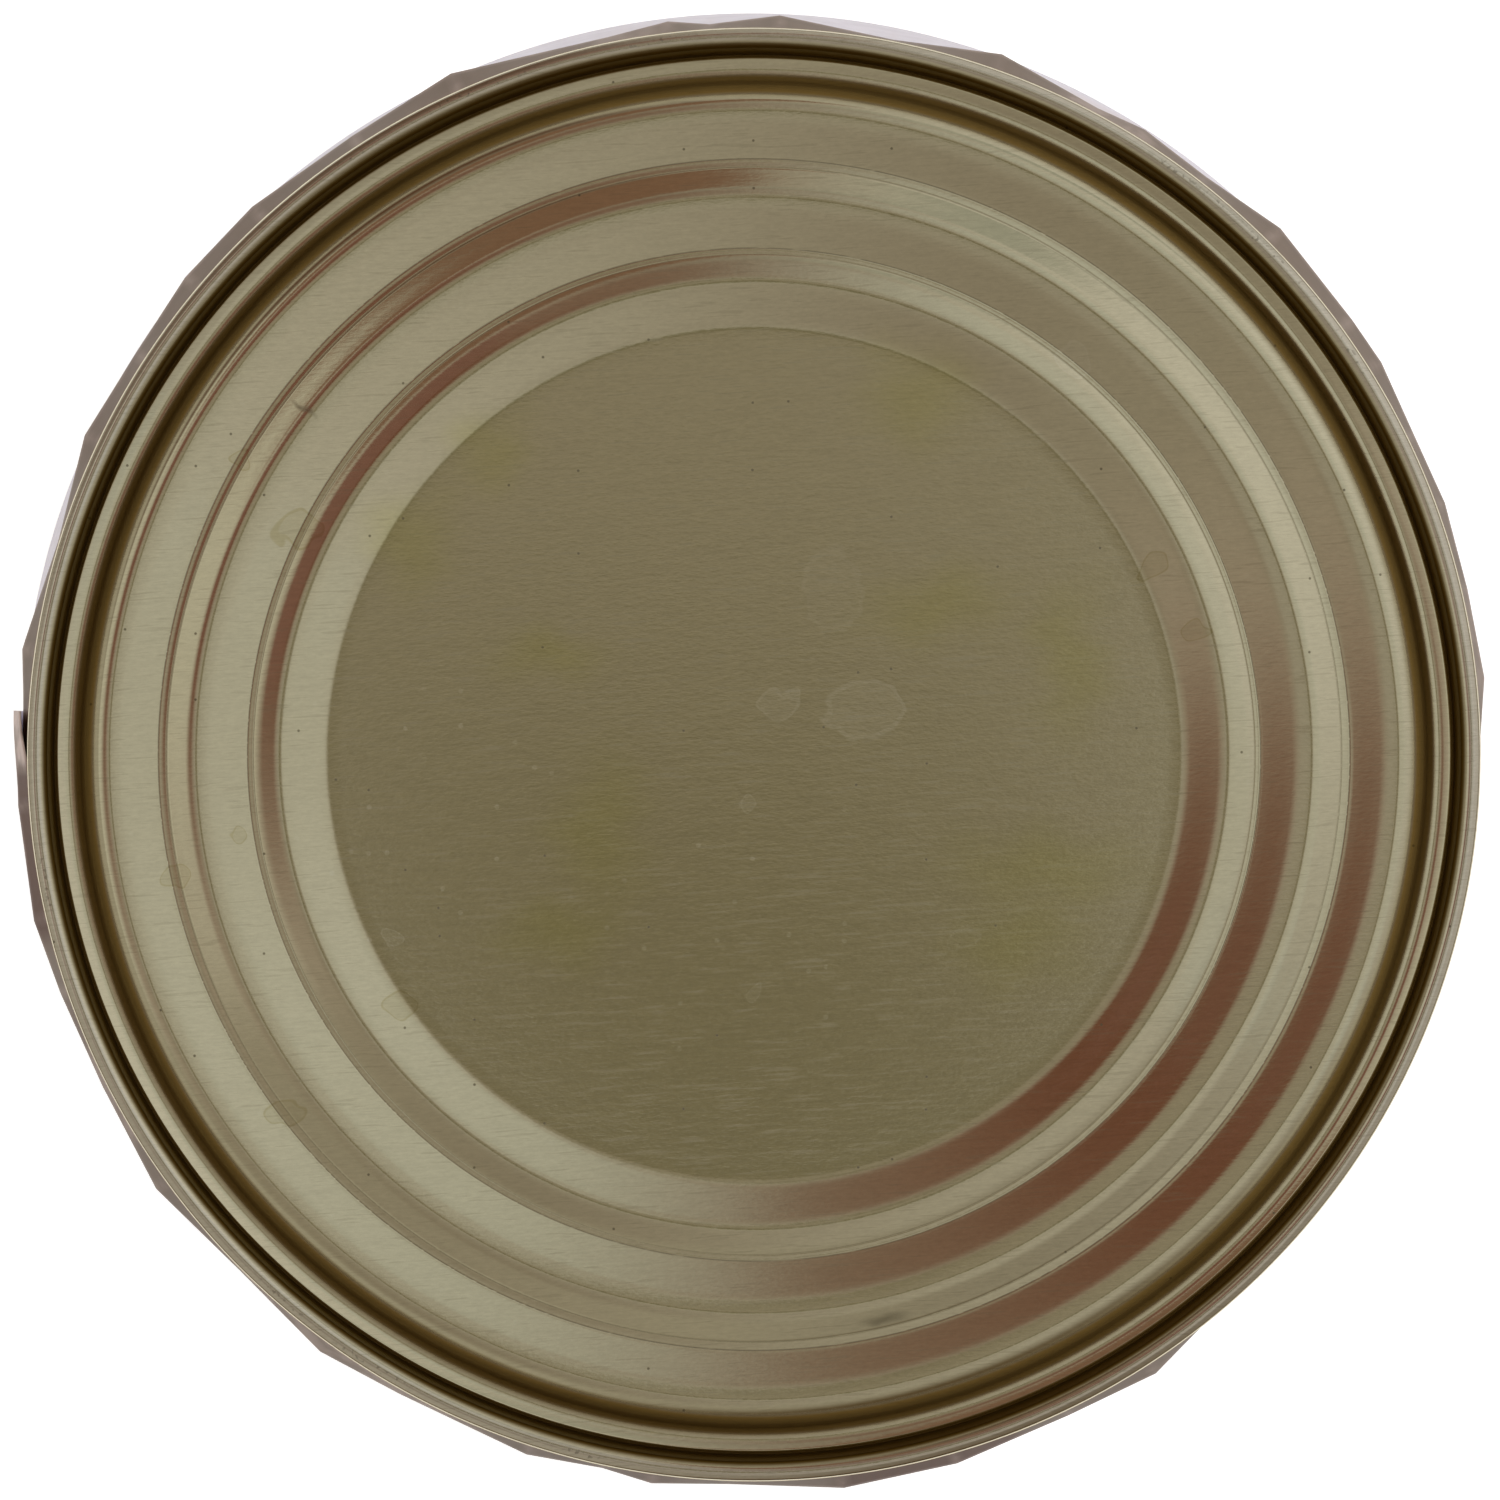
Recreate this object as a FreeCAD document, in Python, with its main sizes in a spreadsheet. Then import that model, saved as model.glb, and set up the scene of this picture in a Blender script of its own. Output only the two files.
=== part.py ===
import FreeCAD, Part
import math
import os
import Sketcher

# A shut food can: a seamed tinplate can that stands on its plain lower end, with a
# loose printed paper label around it. Lengths are in millimetres. The origin is the
# centre of the lower rim's plane and +Z points to the upper end.

# ---------------------------------------------------------------- driving dimensions
SIZES = {
    # the whole can
    "can_height": 118.0,
    "body_radius": 49.4,
    "neck_radius": 48.45,
    "neck_depth": 4.6,
    "shoulder_depth": 12.0,
    "neck_round": 1.6,
    # tinplate and the double seam that joins an end to the body
    "plate": 0.25,
    "seam_radius": 49.6,
    "seam_length": 3.1,
    "throat_radius": 48.2,
    "hem_round": 0.3,
    # the seam's crown, from its inner shoulder over the flat top to its outer shoulder
    "crown_inner_radius": 48.16,
    "crown_inner_depth": 0.17,
    "crown_inner_round": 0.7,
    "crown_flat_start": 48.85,
    "crown_flat_start_round": 0.8,
    "crown_flat_end": 49.16,
    "crown_flat_end_round": 0.5,
    "crown_outer_depth": 0.138,
    "crown_outer_round": 0.25,
    # countersink: the groove between the seam and the panel
    "sink_outer": 47.83,
    "sink_outer_depth": 4.434,
    "sink_outer_round": 0.6,
    "sink_middle": 46.95,
    "sink_middle_depth": 4.646,
    "sink_middle_round": 1.8,
    "sink_inner": 46.18,
    "sink_inner_depth": 4.53,
    "sink_inner_round": 0.6,
    # beaded panel, from its rim to the flat centre; depths are below the seam's top
    "rim_radius": 45.64,
    "rim_depth": 1.899,
    "rim_round": 1.5,
    "crest_radius": 44.32,
    "crest_depth": 1.594,
    "crest_round": 2.6,
    "brow_radius": 43.1,
    "brow_depth": 1.653,
    "brow_round": 8.0,
    "valley_one_radius": 40.5,
    "valley_one_depth": 1.983,
    "valley_one_round": 3.0,
    "ridge_one_radius": 38.45,
    "ridge_one_depth": 1.524,
    "ridge_one_round": 3.2,
    "shoulder_one_radius": 37.1,
    "shoulder_one_depth": 1.586,
    "shoulder_one_round": 8.0,
    "valley_two_radius": 34.5,
    "valley_two_depth": 1.911,
    "valley_two_round": 2.6,
    "ridge_two_radius": 32.62,
    "ridge_two_depth": 1.674,
    "ridge_two_round": 4.0,
    "shoulder_two_radius": 31.95,
    "shoulder_two_depth": 1.704,
    "shoulder_two_round": 7.0,
    "centre_radius": 29.42,
    "centre_depth": 2.02,
    "centre_round": 6.7,
    # paper label: a sleeve that hangs loose and off centre on the body
    "label_radius": 50.5,
    "label_offset": 0.85,
    "label_bearing": 100.0,
    "paper": 0.2,
    "label_low": 4.2,
    "label_round_low": 12.0,
    "label_round_high": 100.0,
    "label_crease": 110.5,
    "label_high": 113.8,
    "label_mouth": 49.35,
    "hem_tuck": 0.35,
}

# The label's creased upper margin, crease by crease around the can: the bearing in
# degrees from +X, and how far in mm the paper stands out there past the seam.
CREASES = (
    (2.0, 0.35), (6.0, 0.83), (13.0, 0.69), (20.0, 0.89), (26.0, 0.76), (32.0, 1.20),
    (36.0, 1.17), (45.0, 1.51), (52.0, 0.76), (58.0, 1.00), (62.0, 0.65), (70.5, 1.41),
    (79.0, 0.38), (88.0, 1.17), (93.5, 0.62), (96.7, 1.07), (101.5, 0.65), (114.0, 1.58),
    (123.0, 1.03), (132.5, 1.41), (140.0, 1.38), (147.0, 1.00), (154.5, 1.31),
    (163.0, 0.35), (171.8, 1.17), (176.6, 0.83), (184.0, 1.03), (193.0, 1.13),
    (207.0, 0.59), (216.0, 1.13), (225.0, 0.41), (234.0, 1.07), (241.0, 0.59),
    (252.0, 0.93), (258.0, 0.48), (262.0, 0.93), (268.0, 0.52), (277.0, 1.13),
    (286.0, 1.03), (295.5, 0.65), (303.0, 1.07), (309.0, 0.17), (322.0, 0.17),
    (335.0, 0.17), (348.0, 0.17),
)

# The end of the label laps over its beginning from this bearing on, and its edge curls
# up off the layer below.
LAP_BEARING = 176.6
LAP_LIFT = 0.5
LAP_FADE = 8.0

# The share of a crease that is left at the label's upper edge, which the seam holds in.
EDGE_SHARE = 0.15

doc = FreeCAD.newDocument("food_can")
sheet = doc.addObject("Spreadsheet::Sheet", "sizes")
for row, (name, number) in enumerate(SIZES.items(), start=1):
    sheet.set("A%d" % row, name)
    sheet.set("B%d" % row, "%g" % number)
    sheet.setAlias("B%d" % row, name)
doc.recompute()


def cell(name):
    """Return the number in a named cell."""
    return float(sheet.get(name))


def amount(formula):
    """Return the number that a sum of cell names such as 'a + b - c' stands for."""
    total = 0.0
    sign = 1.0
    for word in formula.split():
        if word == "+":
            sign = 1.0
        elif word == "-":
            sign = -1.0
        else:
            total += sign * cell(word)
    return total


def bound(formula):
    """Return the same sum written as an expression on the sheet's cells."""
    words = formula.split()
    return " ".join(word if word in ("+", "-") else "sizes." + word for word in words)


# ------------------------------------------------------------ half sections to revolve
# A corner of a half section is (radius, height, rounding). Each is a sum of cells, and
# None stands for the axis or for a sharp corner.

def rounded(before, corner, after, radius):
    """Return where a rounding starts and ends, and the middle of its arc."""
    along_in = (before - corner).normalize()
    along_out = (after - corner).normalize()
    half = along_in.getAngle(along_out) / 2
    reach = radius / math.tan(half)
    start = corner + along_in * reach
    end = corner + along_out * reach
    middle_way = (along_in + along_out).normalize()
    middle = corner + middle_way * (radius / math.sin(half) - radius)
    return start, middle, end


def end_of(sketch, edge, point):
    """Return 1 or 2, the number of the edge's end that lies at the point."""
    first = sketch.getPoint(edge, 1)
    last = sketch.getPoint(edge, 2)
    return 1 if first.distanceToPoint(point) < last.distanceToPoint(point) else 2


def draw_section(sketch, corners):
    """Draw a closed outline whose corners and roundings follow the sheet's cells."""
    count = len(corners)
    points = []
    for radius, height, rounding in corners:
        across = amount(radius) if radius else 0.0
        points.append(FreeCAD.Vector(across, amount(height), 0))
    starts, ends, arcs = [], [], []
    for i, (radius, height, rounding) in enumerate(corners):
        if rounding:
            start, middle, end = rounded(points[i - 1], points[i], points[(i + 1) % count],
                                         amount(rounding))
            arcs.append(sketch.addGeometry(Part.Arc(start, middle, end)))
        else:
            start = end = points[i]
            arcs.append(None)
        starts.append(start)
        ends.append(end)
    lines = []
    for i in range(count):
        lines.append(sketch.addGeometry(Part.LineSegment(ends[i], starts[(i + 1) % count])))

    constraints, sizes = [], []
    for i, (radius, height, rounding) in enumerate(corners):
        before, after, arc = lines[i - 1], lines[i], arcs[i]
        if rounding:
            mark = sketch.addGeometry(Part.Point(points[i]), True)
            first, last = end_of(sketch, arc, starts[i]), end_of(sketch, arc, ends[i])
            constraints.append(Sketcher.Constraint("Tangent", before, 2, arc, first))
            constraints.append(Sketcher.Constraint("Tangent", arc, last, after, 1))
            constraints.append(Sketcher.Constraint("PointOnObject", mark, 1, before))
            constraints.append(Sketcher.Constraint("PointOnObject", mark, 1, after))
            place = (mark, 1)
            sizes.append(("round_%d" % i, rounding, ("Radius", arc)))
        else:
            constraints.append(Sketcher.Constraint("Coincident", before, 2, after, 1))
            place = (after, 1)
        if radius:
            sizes.append(("radius_%d" % i, radius, ("DistanceX", -1, 1) + place))
        else:
            constraints.append(Sketcher.Constraint("PointOnObject", place[0], place[1], -2))
        sizes.append(("height_%d" % i, height, ("DistanceY", -1, 1) + place))
    sketch.addConstraint(constraints)
    for name, formula, terms in sizes:
        index = sketch.addConstraint(Sketcher.Constraint(*terms, amount(formula)))
        sketch.renameConstraint(index, name)
        sketch.setExpression("Constraints." + name, bound(formula))


def turned_body(name, corners):
    """Make a body by turning a half section in the XZ plane about the Z axis."""
    body = doc.addObject("PartDesign::Body", name)
    body.Label = name
    sketch = body.newObject("Sketcher::SketchObject", name + "_section")
    upright = [f for f in body.Origin.OriginFeatures if f.Role == "XZ_Plane"][0]
    sketch.AttachmentSupport = [(upright, "")]
    sketch.MapMode = "FlatFace"
    doc.recompute()
    draw_section(sketch, corners)
    doc.recompute()
    turn = body.newObject("PartDesign::Revolution", name + "_turn")
    turn.Profile = sketch
    turn.ReferenceAxis = (sketch, ["V_Axis"])
    turn.Angle = 360.0
    sketch.Visibility = False
    doc.recompute()
    return body


# ---------------------------------------------------------------------- the beaded end
# Depths run down from the seam's top. The upper face of the plate steps outward from
# the flat centre over two ridges and a crest to the panel's rim, drops into the
# countersink, climbs the chuck wall and turns over the seam's crown. Each ridge and the
# crest has a softer shoulder on its inner side. The lower face runs one plate below in
# straight lines, and is only rounded where it turns the rim.

UPPER_FACE = (
    (None, "centre_depth", None),
    ("centre_radius", "centre_depth", "centre_round"),
    ("shoulder_two_radius", "shoulder_two_depth", "shoulder_two_round"),
    ("ridge_two_radius", "ridge_two_depth", "ridge_two_round"),
    ("valley_two_radius", "valley_two_depth", "valley_two_round"),
    ("shoulder_one_radius", "shoulder_one_depth", "shoulder_one_round"),
    ("ridge_one_radius", "ridge_one_depth", "ridge_one_round"),
    ("valley_one_radius", "valley_one_depth", "valley_one_round"),
    ("brow_radius", "brow_depth", "brow_round"),
    ("crest_radius", "crest_depth", "crest_round"),
    ("rim_radius", "rim_depth", "rim_round"),
    ("sink_inner", "sink_inner_depth", "sink_inner_round"),
    ("sink_middle", "sink_middle_depth", "sink_middle_round"),
    ("sink_outer", "sink_outer_depth", "sink_outer_round"),
)

SEAM = (
    ("crown_inner_radius", "crown_inner_depth", "crown_inner_round"),
    ("crown_flat_start", "", "crown_flat_start_round"),
    ("crown_flat_end", "", "crown_flat_end_round"),
    ("seam_radius", "crown_outer_depth", "crown_outer_round"),
    ("seam_radius", "seam_length", "hem_round"),
    ("neck_radius", "seam_length", None),
)

LOWER_FACE = (
    ("throat_radius", "seam_length", None),
    ("sink_outer + plate", "sink_outer_depth + plate", None),
    ("sink_middle", "sink_middle_depth + plate", None),
    ("sink_inner - plate", "sink_inner_depth + plate", None),
    ("rim_radius - plate", "rim_depth + plate", "rim_round - plate"),
    ("crest_radius", "crest_depth + plate", None),
    ("brow_radius", "brow_depth + plate", None),
    ("valley_one_radius", "valley_one_depth + plate", None),
    ("ridge_one_radius", "ridge_one_depth + plate", None),
    ("shoulder_one_radius", "shoulder_one_depth + plate", None),
    ("valley_two_radius", "valley_two_depth + plate", None),
    ("ridge_two_radius", "ridge_two_depth + plate", None),
    ("shoulder_two_radius", "shoulder_two_depth + plate", None),
    ("centre_radius", "centre_depth + plate", None),
    (None, "centre_depth + plate", None),
)


def below_top(corners):
    """Turn depths below the upper rim into heights above the lower one."""
    placed = []
    for radius, depth, rounding in corners:
        drop = "".join(" - " + word for word in depth.replace("+", " ").split())
        placed.append((radius, "can_height" + drop, rounding))
    return placed


END_SECTION = below_top(UPPER_FACE + SEAM + LOWER_FACE)
upper_end = turned_body("upper_end", END_SECTION)

# The lower end is the same piece, turned over onto the other end of the body.
lower_end = turned_body("lower_end", END_SECTION)
lower_end.Placement.Rotation = FreeCAD.Rotation(FreeCAD.Vector(1, 0, 0), 180)
lower_end.setExpression("Placement.Base.z", "sizes.can_height")

# --------------------------------------------------------------------- the filled body
# The can is shut, so the body is solid: its wall, with a neck and a shoulder at each
# end, and what fills it, up to the lower face of each end.

NECK = (
    ("neck_radius", "seam_length", None),
    ("neck_radius", "neck_depth", "neck_round"),
    ("body_radius", "shoulder_depth", "neck_round"),
)

upper_half = below_top(tuple(reversed(LOWER_FACE)) + NECK)
lower_half = tuple(reversed(NECK)) + LOWER_FACE
can_body = turned_body("can_body", upper_half + list(lower_half))


# --------------------------------------------------------------------- the paper label
# The sleeve is ruled between outlines at five heights. Its lower part is a circle, a
# little off centre, and its upper margin is bent over the shoulder in flat facets
# between upright creases. Every outline has one corner at each crease's bearing.

def spot(bearing, radius, height):
    """Return the point at a bearing in degrees, a radius and a height."""
    angle = math.radians(bearing)
    return FreeCAD.Vector(radius * math.cos(angle), radius * math.sin(angle), height)


def lap(bearing):
    """Return how far the lap lifts the paper: full at its edge, and fading past it."""
    past = bearing - LAP_BEARING
    return LAP_LIFT * max(0.0, 1 - past / LAP_FADE) if past >= 0 else 0.0


def round_radius(bearing):
    """Return the radius of the sleeve's round part, whose centre stands off the axis."""
    swing = math.radians(bearing - cell("label_bearing"))
    return cell("label_radius") + cell("label_offset") * math.cos(swing)


def outline_corners():
    """Return the corners as (bearing, stand-off, lap), with two of them at the lap."""
    corners = []
    for bearing, stand_off in CREASES:
        if bearing == LAP_BEARING:
            corners.append((bearing, stand_off, 0.0))
        corners.append((bearing, stand_off, lap(bearing)))
    return corners


def round_outline(height, inset):
    """Return a closed wire of arcs on the sleeve's circle, stepped at the lap."""
    corners = outline_corners()
    edges = []
    for i, (bearing, stand_off, lift) in enumerate(corners):
        after, stand_off_after, lift_after = corners[(i + 1) % len(corners)]
        start = spot(bearing, round_radius(bearing) + lift - inset, height)
        end = spot(after, round_radius(after) + lift_after - inset, height)
        if after == bearing:
            edges.append(Part.makeLine(start, end))
            continue
        halfway = bearing + ((after - bearing) % 360) / 2
        lift_halfway = (lift + lift_after) / 2
        middle = spot(halfway, round_radius(halfway) + lift_halfway - inset, height)
        edges.append(Part.Arc(start, middle, end).toShape())
    return Part.Wire(edges)


def creased_outline(height, base_radius, share):
    """Return a closed wire of straight facets that hold a share of each crease."""
    points = []
    for bearing, stand_off, lift in outline_corners():
        radius = base_radius + share * (stand_off + lift)
        points.append(spot(bearing, radius, height))
    return Part.makePolygon(points + points[:1])


def sleeve(inset):
    """Return the solid inside the sleeve's skin, drawn in by the inset."""
    outlines = [
        round_outline(cell("label_low"), inset + cell("hem_tuck")),
        round_outline(cell("label_round_low"), inset),
        round_outline(cell("label_round_high"), inset),
        creased_outline(cell("label_crease"), cell("seam_radius") - inset, 1.0),
        creased_outline(cell("label_high"), cell("label_mouth") - inset, EDGE_SHARE),
    ]
    return Part.makeLoft(outlines, True, True)


paper_label = doc.addObject("Part::Feature", "paper_label")
paper_label.Label = "paper_label"
paper_label.Shape = sleeve(0.0).cut(sleeve(cell("paper")))
paper_label.Placement = FreeCAD.Placement()
doc.recompute()

# ---------------------------------------------------------------------- check and write
for item in doc.Objects:
    if "Invalid" in item.State or "Error" in item.State:
        raise RuntimeError("%s failed: %s" % (item.Name, item.State))

pieces = (upper_end, can_body, lower_end, paper_label)
for piece in pieces:
    shape = piece.Shape
    if shape.isNull() or not shape.isValid() or shape.Volume <= 0:
        raise RuntimeError("%s has no sound shape" % piece.Label)
    print("%-12s %10.1f mm3, %d solid" % (piece.Label, shape.Volume, len(shape.Solids)))

os.makedirs("parts", exist_ok=True)
for piece in pieces:
    piece.Shape.exportStep("parts/%s.step" % piece.Label)
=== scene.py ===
# %% [markdown]
# # A shut food can with a loose paper label
# The can stands upright and is looked at from straight above. Its end is one pressed disc of
# tinplate, joined to the body by a double seam. The label is a paper sleeve that has come
# loose: its upper margin is creased and stands out past the seam.
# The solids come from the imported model. They are the frame: every piece below is worked out
# from them or from the same driving sizes, in metres, and stays inside their box.

# %% Load the frame
import math

import bmesh
import bpy
import numpy as np
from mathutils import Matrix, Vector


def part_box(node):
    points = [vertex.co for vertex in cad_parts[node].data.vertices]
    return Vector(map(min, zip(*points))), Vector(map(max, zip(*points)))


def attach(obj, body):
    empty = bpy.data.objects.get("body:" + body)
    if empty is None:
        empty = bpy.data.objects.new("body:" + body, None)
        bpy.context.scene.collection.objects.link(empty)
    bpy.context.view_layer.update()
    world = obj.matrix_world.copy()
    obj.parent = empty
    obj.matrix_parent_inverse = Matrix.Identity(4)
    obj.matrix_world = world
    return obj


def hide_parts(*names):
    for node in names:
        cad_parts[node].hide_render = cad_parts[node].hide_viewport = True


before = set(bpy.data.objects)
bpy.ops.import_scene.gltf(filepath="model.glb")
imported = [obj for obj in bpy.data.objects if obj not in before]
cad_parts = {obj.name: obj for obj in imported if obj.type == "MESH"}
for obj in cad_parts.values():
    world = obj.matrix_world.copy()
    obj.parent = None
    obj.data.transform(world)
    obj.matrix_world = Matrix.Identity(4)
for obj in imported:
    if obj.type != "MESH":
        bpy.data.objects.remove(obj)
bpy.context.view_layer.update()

MM = 0.001
end_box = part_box("upper_end")
label_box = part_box("paper_label")
seam_radius, can_height = end_box[1][0], end_box[1][2]
print("can height %.1f mm, seam radius %.2f mm" % (can_height / MM, seam_radius / MM))

# %% [markdown]
# ## Putting arrays into a mesh
# Every piece is a grid of points: rows along a profile and columns around the can. The grid is
# worked out as whole arrays, and only its corner numbers are handed to Blender. Columns close
# on themselves, except on the label, which leaves out the last face of each row. A row that
# lies on the axis is drawn together into one point.

# %% Grid to mesh
def grid_faces(rows, columns, closed_rows=False):
    """Four corner numbers per face: each point, its neighbour along the row, and the two above."""
    row = np.arange(rows if closed_rows else rows - 1)[:, None]
    column = np.arange(columns)[None, :]
    above = (row + 1) % rows
    after = (column + 1) % columns
    corners = (row * columns + column, row * columns + after,
               above * columns + after, above * columns + column)
    return np.stack(np.broadcast_arrays(*corners), axis=-1).reshape(-1, 4)


def mesh_piece(name, points, faces):
    """Makes one smooth object from an array of points and an array of four-cornered faces."""
    mesh = bpy.data.meshes.new(name)
    mesh.vertices.add(len(points))
    mesh.vertices.foreach_set("co", points.astype(np.float32).ravel())
    mesh.loops.add(faces.size)
    mesh.loops.foreach_set("vertex_index", faces.astype(np.int32).ravel())
    mesh.polygons.add(len(faces))
    mesh.polygons.foreach_set("loop_start", np.arange(0, faces.size, 4, dtype=np.int32))
    mesh.polygons.foreach_set("use_smooth", np.ones(len(faces), dtype=bool))
    mesh.update(calc_edges=True)
    mesh.validate()
    piece = bpy.data.objects.new(name, mesh)
    bpy.context.scene.collection.objects.link(piece)
    return piece


def close_poles(piece, merge=1e-7):
    """Merges the points that lie on one spot, so a row on the axis becomes a single pole."""
    work = bmesh.new()
    work.from_mesh(piece.data)
    bmesh.ops.remove_doubles(work, verts=work.verts, dist=merge)
    bmesh.ops.dissolve_degenerate(work, edges=work.edges, dist=merge)
    work.to_mesh(piece.data)
    work.free()
    piece.data.update()


# %% Soft steps, and numbers kept on a mesh
def ease(value):
    """A smooth step from 0 to 1."""
    value = np.clip(value, 0, 1)
    return value * value * (3 - 2 * value)


def hill(away, half, soft):
    """1 within half of the middle, falling smoothly to 0 a soft edge further out."""
    return 1 - ease((np.abs(away) - half) / soft)


def store(piece, name, values):
    """Stores one number per point under a name that a material can read."""
    piece.data.attributes.new(name, "FLOAT", "POINT").data.foreach_set(
        "value", values.astype(np.float32))


# %% [markdown]
# ## The beaded end
# On the real can this is a pressed disc of 0.25 mm plate. From the flat centre its face climbs
# over two rings, which let the end bulge while the can is cooked, and then falls into the
# countersink, where the seaming tool holds it. The chuck wall climbs out of that groove and
# the plate is rolled over the body's flange into the double seam.
# It could be modelled by hand from circles, but a ring that is a tenth of a millimetre out
# shows at once in its reflections. So it is turned from one exact half section.

# %% The half section's corners
# Each corner is (radius, depth below the rim, rounding), in millimetres.
FACE = (
    (0.0, 2.02, 0.0),
    (29.42, 2.02, 6.7),
    (31.95, 1.704, 7),
    (32.62, 1.674, 4),
    (34.5, 1.911, 2.6),
    (37.1, 1.586, 8),
    (38.45, 1.524, 3.2),
    (40.5, 1.983, 3),
    (43.1, 1.653, 8),
    (44.32, 1.594, 2.6),
    (45.64, 1.899, 1.5),
    (46.18, 4.53, 0.6),
    (46.95, 4.646, 1.8),
    (47.95, 4.434, 0.5),
)
SEAM = (
    (48.28, 0.17, 0.6),
    (48.85, 0.0, 0.8),
    (49.16, 0.0, 0.5),
    (49.6, 0.138, 0.25),
    (49.6, 3.1, 0.3),
    (48.45, 3.1, 0.0),
)
BACK = (
    (48.2, 3.1, 0.0),
    (48.08, 4.684, 0.0),
    (46.95, 4.896, 0.0),
    (45.93, 4.78, 0.0),
    (45.39, 2.149, 1.25),
    (44.32, 1.844, 0.0),
    (43.1, 1.903, 0.0),
    (40.5, 2.233, 0.0),
    (38.45, 1.774, 0.0),
    (37.1, 1.836, 0.0),
    (34.5, 2.161, 0.0),
    (32.62, 1.924, 0.0),
    (31.95, 1.954, 0.0),
    (29.42, 2.27, 0.0),
    (0.0, 2.27, 0.0),
)
print(len(FACE + SEAM + BACK), "corners")


# %% A profile with rounded corners
WIDE_ROUNDING, WIDE_DEGREES, TIGHT_DEGREES = 1.0, 2.0, 5.0


def arc_between(before, corner, after, radius):
    """Points of the circle that touches both sides of a corner, one each few degrees.
    A wide rounding gets more of them, because it mirrors a wide part of the room."""
    degrees = WIDE_DEGREES if radius > WIDE_ROUNDING else TIGHT_DEGREES
    inward = (before - corner) / np.linalg.norm(before - corner)
    outward = (after - corner) / np.linalg.norm(after - corner)
    half = math.acos(np.clip(inward @ outward, -1, 1)) / 2
    middle = inward + outward
    centre = corner + middle / np.linalg.norm(middle) * radius / math.sin(half)
    start = corner + inward * radius / math.tan(half) - centre
    turn = math.pi - 2 * half
    side = np.sign(start[0] * outward[1] - start[1] * outward[0])
    angles = np.linspace(0, turn, max(3, int(math.degrees(turn) / degrees) + 2)) * side
    swing = np.stack([np.cos(angles), np.sin(angles)], axis=1)
    across = np.array([-start[1], start[0]])
    return centre + swing[:, :1] * start + swing[:, 1:] * across


def rounded_profile(corners, step):
    """The corners' outline with its roundings, and points on straight runs each step mm."""
    spots = np.array([(radius, depth) for radius, depth, rounding in corners])
    parts = []
    for i, (radius, depth, rounding) in enumerate(corners):
        if rounding:
            parts.append(arc_between(spots[i - 1], spots[i], spots[i + 1], rounding))
        else:
            parts.append(spots[i:i + 1])
    line = [parts[0]]
    for part in parts[1:]:
        start, end = line[-1][-1], part[0]
        count = int(np.linalg.norm(end - start) / step)
        share = np.linspace(0, 1, count + 2)[1:-1, None]
        line.append(start + (end - start) * share)
        line.append(part)
    return np.concatenate(line)


def turned(profile, height_of, columns=300):
    """Every profile point carried once round the axis: (r cos a, r sin a, height)."""
    angle = np.arange(columns) * 2 * math.pi / columns
    radius = profile[:, :1] * MM
    x = radius * np.cos(angle)
    y = radius * np.sin(angle)
    z = np.broadcast_to(height_of(profile[:, 1:] * MM), x.shape)
    points = np.stack([x, y, z], axis=-1).reshape(-1, 3)
    faces = grid_faces(len(profile), columns)
    return points, faces


# %% Fine rings pressed by the tool's edges
# Each is (radius, darkness of its painted shade): where the press tool ends, a fine line is
# scored into the plate, and the material draws it dark, a painted shade.
CREASES_PRESSED = ((34.2, 0.2), (34.62, 0.5), (40.14, 0.3), (40.72, 0.55))
CREASE_HALF, CREASE_DEPTH = 0.07, 0.012
PANEL_END = FACE[-4][0] - 1


def pressed(radius):
    """A small V-shaped groove at each crease: its height falls off in a straight line."""
    reach = [np.clip(1 - np.abs(radius - middle) / CREASE_HALF, 0, 1)
             for middle, shade_strength in CREASES_PRESSED]
    return np.max(reach, axis=0)


def with_creases(outline):
    """Adds rows round each crease to the panel, where radius only grows, and presses them in."""
    count = int(np.argmax(outline[:, 0] > PANEL_END))
    face = outline[:count]
    steps = np.array([-1.0, -0.5, 0.0, 0.5, 1.0]) * CREASE_HALF
    extra = np.array([middle for middle, shade_strength in CREASES_PRESSED])[:, None] + steps
    radius = np.unique(np.concatenate([face[:, 0], extra.ravel()]))
    depth = np.interp(radius, face[:, 0], face[:, 1]) + CREASE_DEPTH * pressed(radius)
    return np.concatenate([np.stack([radius, depth], axis=1), outline[count:]])


# %% Turn both ends
SHOWN_STEP, HIDDEN_STEP = 0.8, 4.0
outer = with_creases(rounded_profile(FACE + SEAM, SHOWN_STEP))
hidden = rounded_profile(BACK, HIDDEN_STEP)
section = np.concatenate([outer, hidden])
print("half section: %d points, %d of them on show" % (len(section), len(outer)))

points, faces = turned(section, lambda depth: can_height - depth)
end_up = mesh_piece("end_shown", points, faces[:, ::-1])
close_poles(end_up)
points, faces = turned(section, lambda depth: depth)
end_down = mesh_piece("end_lower", points, faces)
close_poles(end_down)
for piece, node in ((end_up, "upper_end"), (end_down, "lower_end")):
    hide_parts(node)
    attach(piece, "root")
    print(piece.name, len(piece.data.polygons), "faces")

# %% [markdown]
# ## The paper label
# The label is a printed sheet wrapped once round the can and glued where its end laps over its
# beginning. This one has come loose: it hangs a little off centre, and its upper margin,
# which stands free beside the neck, is bent into flat facets between upright creases.
# Paper bends but doesn't stretch, so a cloth simulation is more than it needs: each facet is
# a straight chord between two creases, and lower down the chords ease into a plain circle.

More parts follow.
